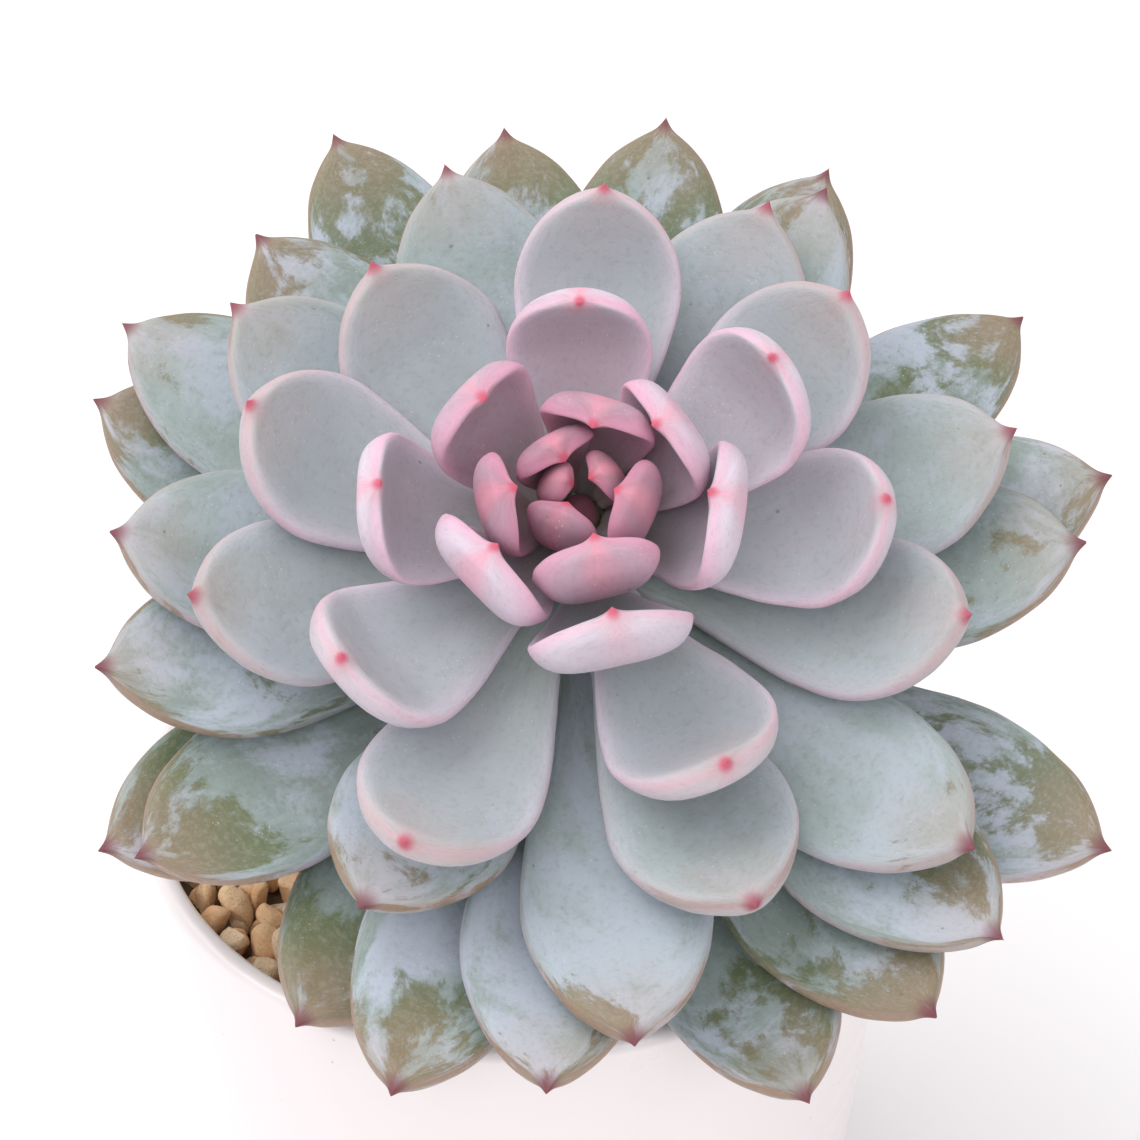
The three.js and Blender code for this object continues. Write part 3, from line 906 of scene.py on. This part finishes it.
def lathed(rings, around):
    """A grid of rings round the Z axis from rows of radius and height."""
    turns = np.arange(around) / around * 2 * math.pi
    grid = np.empty((len(rings), around, 3))
    grid[..., 0] = rings[:, :1] * np.cos(turns)
    grid[..., 1] = rings[:, :1] * np.sin(turns)
    grid[..., 2] = rings[:, 1:]
    return grid


def make_pot():
    profile = pot_profile()
    grid = lathed(profile, POT_AROUND)
    # Faint throwing rings and an uneven hand, fading out at the foot and the floor.
    grooves = GROOVE_HEIGHT * np.sin(profile[:, 1] / GROOVE_SIZE)[:, None]
    wave = THROWN_HEIGHT * rough(grid, THROWN_SIZE, 2) + grooves - THROWN_SUNK
    wave *= np.clip((profile[:, 1] - POT_BASE_ROUND) / THROWN_FADE, 0, 1)[:, None]
    grid[..., :2] *= (1 + wave / POT_MEAN_RADIUS)[..., None]
    mesh = tube_mesh("pot_thrown", grid, (0, 0, 0), (0, 0, POT_FLOOR))
    pot = place("pot_thrown", mesh, pot_material(), "pot_glaze", "pot")
    for count in range(DRAIN_HOLES):
        turn = 2 * math.pi * count / DRAIN_HOLES
        drill(pot, DRAIN_CIRCLE_RADIUS * math.sin(turn), DRAIN_CIRCLE_RADIUS * math.cos(turn))
    pot.data.name = "pot_thrown"


def drill(pot, x, y):
    """Cuts one drain hole through the pot's floor."""
    shape = lathed(np.array(DRAIN_PROFILE), DRAIN_SIDES) + np.array([x, y, 0])
    tool = tube_mesh("cutter", shape, shape[0].mean(axis=0), shape[-1].mean(axis=0))
    cutter = bpy.data.objects.new("cutter", tool)
    bpy.context.collection.objects.link(cutter)
    cut = pot.modifiers.new("hole", "BOOLEAN")
    cut.operation = "DIFFERENCE"
    cut.solver = "EXACT"
    cut.object = cutter
    bpy.context.view_layer.update()
    made = bpy.data.meshes.new_from_object(pot.evaluated_get(bpy.context.evaluated_depsgraph_get()))
    pot.modifiers.clear()
    pot.data = made
    bpy.data.objects.remove(cutter)


def scattered(reach, spacing, blocked, tries):
    """Places in a disc no nearer to each other than the spacing, and clear of the blocked circle."""
    chosen = np.empty((0, 2))
    for _ in range(tries):
        radius = reach * math.sqrt(draws.random())
        turn = 2 * math.pi * draws.random()
        spot = np.array([radius * math.cos(turn), radius * math.sin(turn)])
        if np.linalg.norm(spot - blocked[0]) < blocked[1]:
            continue
        if len(chosen) and np.min(np.sum((chosen - spot) ** 2, axis=1)) < spacing**2:
            continue
        chosen = np.vstack([chosen, spot])
    return chosen


def stem_at(low, high):
    """The middle and the radius of the stem between two heights."""
    points = np.array([v.co[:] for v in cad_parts["stem"].data.vertices if low < v.co.z < high])
    reach = points[:, :2]
    return (reach.max(axis=0) + reach.min(axis=0)) / 2, np.ptp(reach, axis=0).max() / 2


def globe():
    """A fine ball of radius 1: its points and its faces."""
    bpy.ops.mesh.primitive_ico_sphere_add(subdivisions=4, radius=1)
    ball = bpy.context.object
    points = np.array([v.co[:] for v in ball.data.vertices])
    points /= np.linalg.norm(points, axis=1, keepdims=True)
    faces = [tuple(face.vertices) for face in ball.data.polygons]
    bpy.data.objects.remove(ball)
    return points, faces


def gravel_bed(top, stem_middle, stem_radius):
    """The ring that the stones lie in, from the wall to the stem: its points and its faces."""
    base = top - GRAVEL_DEPTH
    bed_top = top - BED_BELOW_TOP
    wall = inner_radius(base) - FIT
    hole = stem_radius + FIT
    outline = [(wall, base), (wall, bed_top - BED_EDGE)]
    outline += [(r, bed_top) for r in np.linspace(wall - BED_EDGE, stem_radius + 0.0012, 34)]
    outline = np.array(outline + [(hole, bed_top - BED_EDGE), (hole, base)])
    grid = lathed(outline, BED_AROUND)
    share = (wall - outline[:, :1]) / (wall - hole)
    grid[..., 0] += stem_middle[0] * share
    grid[..., 1] += stem_middle[1] * share
    grid[..., 2] += (grid[..., 2] > base + 0.001) * BED_HEIGHT * rough(grid, BED_SIZE, 3)
    faces = []
    for row in range(len(outline)):
        low, high = row * BED_AROUND, (row + 1) % len(outline) * BED_AROUND
        for side in range(BED_AROUND):
            beside = (side + 1) % BED_AROUND
            faces.append((low + side, low + beside, high + beside, high + side))
    return grid.reshape(-1, 3), faces


def stone(ball):
    """One angular stone about the origin: a ball pressed flat by a few planes."""
    planes = draws.normal(size=(STONE_PLANES, 3))
    planes /= np.linalg.norm(planes, axis=1, keepdims=True)
    cut = draws.uniform(*STONE_CUTS, STONE_PLANES)
    press = np.maximum(ball @ planes.T / cut, 0) ** STONE_SHARPNESS
    radius = (1 + press.sum(axis=1)) ** (-1 / STONE_SHARPNESS)
    size = STONE_RADIUS * draws.uniform(*STONE_SIZES)
    shape = ball * radius[:, None] * np.array(STONE_SHAPE) * size
    shape *= (1 + STONE_ROUGHNESS * rough(shape, size * 0.5, draws.random() * 50))[:, None]
    spin = np.array(Euler(draws.uniform(0, 6.3, 3)).to_matrix())
    return shape @ spin.T


def make_gravel():
    top = POT_HEIGHT - GRAVEL_BELOW_RIM
    base = top - GRAVEL_DEPTH
    stem_middle, stem_radius = stem_at(base - STEM_SEARCH, top + STEM_SEARCH)
    ball, skin = globe()
    bed, faces = gravel_bed(top, stem_middle, stem_radius)
    # The bed carries the mark that paints it dark, as painted shade under the stones.
    points, shades = [bed], [np.full(len(bed), BED_PAINTED_SHADE)]
    blocked = (stem_middle, stem_radius + STONE_RADIUS * 1.05)
    for depth in STONE_LAYERS:
        reach = inner_radius(top + depth) - FIT - STONE_RADIUS
        for x, y in scattered(reach, STONE_SPACING, blocked, STONE_TRIES):
            shape = stone(ball)
            centre = np.array([x, y, top + depth + draws.uniform(-STONE_SCATTER, STONE_SCATTER)])
            # Against the glaze, a stone is moved in until it clears the wall.
            out = np.hypot(*(shape[:, :2] + centre[:2]).T).max()
            room = inner_radius(centre[2]) - FIT
            if out > room:
                centre[:2] *= 1 - (out - room) / max(np.hypot(x, y), 1e-6)
            start = sum(len(p) for p in points)
            points.append(shape + centre)
            faces.extend(tuple(start + i for i in face) for face in skin)
            shades.append(np.full(len(shape), draws.random()))
    mesh = solid_mesh("gravel_stones", np.concatenate(points), faces)
    store(mesh, "shade", np.concatenate(shades))
    place("gravel_stones", mesh, gravel_material(), "gravel", "gravel")


# ---------------------------------------------------------------- the set


def make_camera(heart):
    """The photo's angle, from a set way off in front of the rosette's heart and above it."""
    lens = bpy.data.cameras.new("camera")
    lens.lens = CAMERA_LENS
    lens.sensor_width = SENSOR_WIDTH
    lens.clip_start = 0.01
    camera = bpy.data.objects.new("camera", lens)
    bpy.context.collection.objects.link(camera)
    high = math.radians(CAMERA_ELEVATION)
    camera.location = Vector(heart) + CAMERA_DISTANCE * Vector((0, -math.cos(high), math.sin(high)))
    camera.rotation_euler = (math.radians(90 - CAMERA_DOWN), 0, math.radians(CAMERA_ASIDE))
    bpy.context.scene.camera = camera


def soft_light(name, from_place, width, power):
    lamp = bpy.data.lights.new(name, "AREA")
    lamp.shape = "DISK"
    lamp.size = width
    lamp.energy = power
    light = bpy.data.objects.new(name, lamp)
    bpy.context.collection.objects.link(light)
    light.location = from_place
    light.rotation_euler = (Vector(LIT_PLACE) - Vector(from_place)).to_track_quat("-Z", "Y").to_euler()


def make_floor():
    places = np.linspace(-FLOOR_HALF, FLOOR_HALF, FLOOR_CELLS + 1)
    row = FLOOR_CELLS + 1
    corners = [first * row + second for first in range(FLOOR_CELLS) for second in range(FLOOR_CELLS)]
    mesh = bpy.data.meshes.new("floor")
    mesh.from_pydata(
        [(x, y, -FLOOR_BELOW) for x in places for y in places],
        [],
        [(corner, corner + row, corner + row + 1, corner + 1) for corner in corners],
    )
    mesh.materials.append(floor_material())
    floor = bpy.data.objects.new("floor", mesh)
    bpy.context.collection.objects.link(floor)


def make_set():
    make_floor()
    world = bpy.data.worlds.new("studio")
    world.use_nodes = True
    background = world.node_tree.nodes["Background"]
    background.inputs[0].default_value = SKY
    background.inputs[1].default_value = SKY_STRENGTH
    bpy.context.scene.world = world
    for light in LIGHTS:
        soft_light(*light)
    bpy.context.scene.view_settings.view_transform = "Standard"


draws = np.random.default_rng(11)
LEAF_COUNT = sum(1 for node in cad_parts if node.startswith("leaf_"))
_, pot_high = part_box("pot")
POT_HEIGHT = pot_high.z
POT_TOP_RADIUS = pot_high.x + POT_FACET_LOSS

heart = make_stem()
materials = {name: leaf_material(name) for name in ("leaf_heart", "leaf_middle", "leaf_outer")}
for number in range(1, LEAF_COUNT + 1):
    slot = leaf_slot(number)
    make_leaf(number, materials[slot], slot)
make_pot()
make_gravel()
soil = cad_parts["soil"]
soil.data.materials.clear()
soil.data.materials.append(soil_material())
make_camera(heart)
make_set()
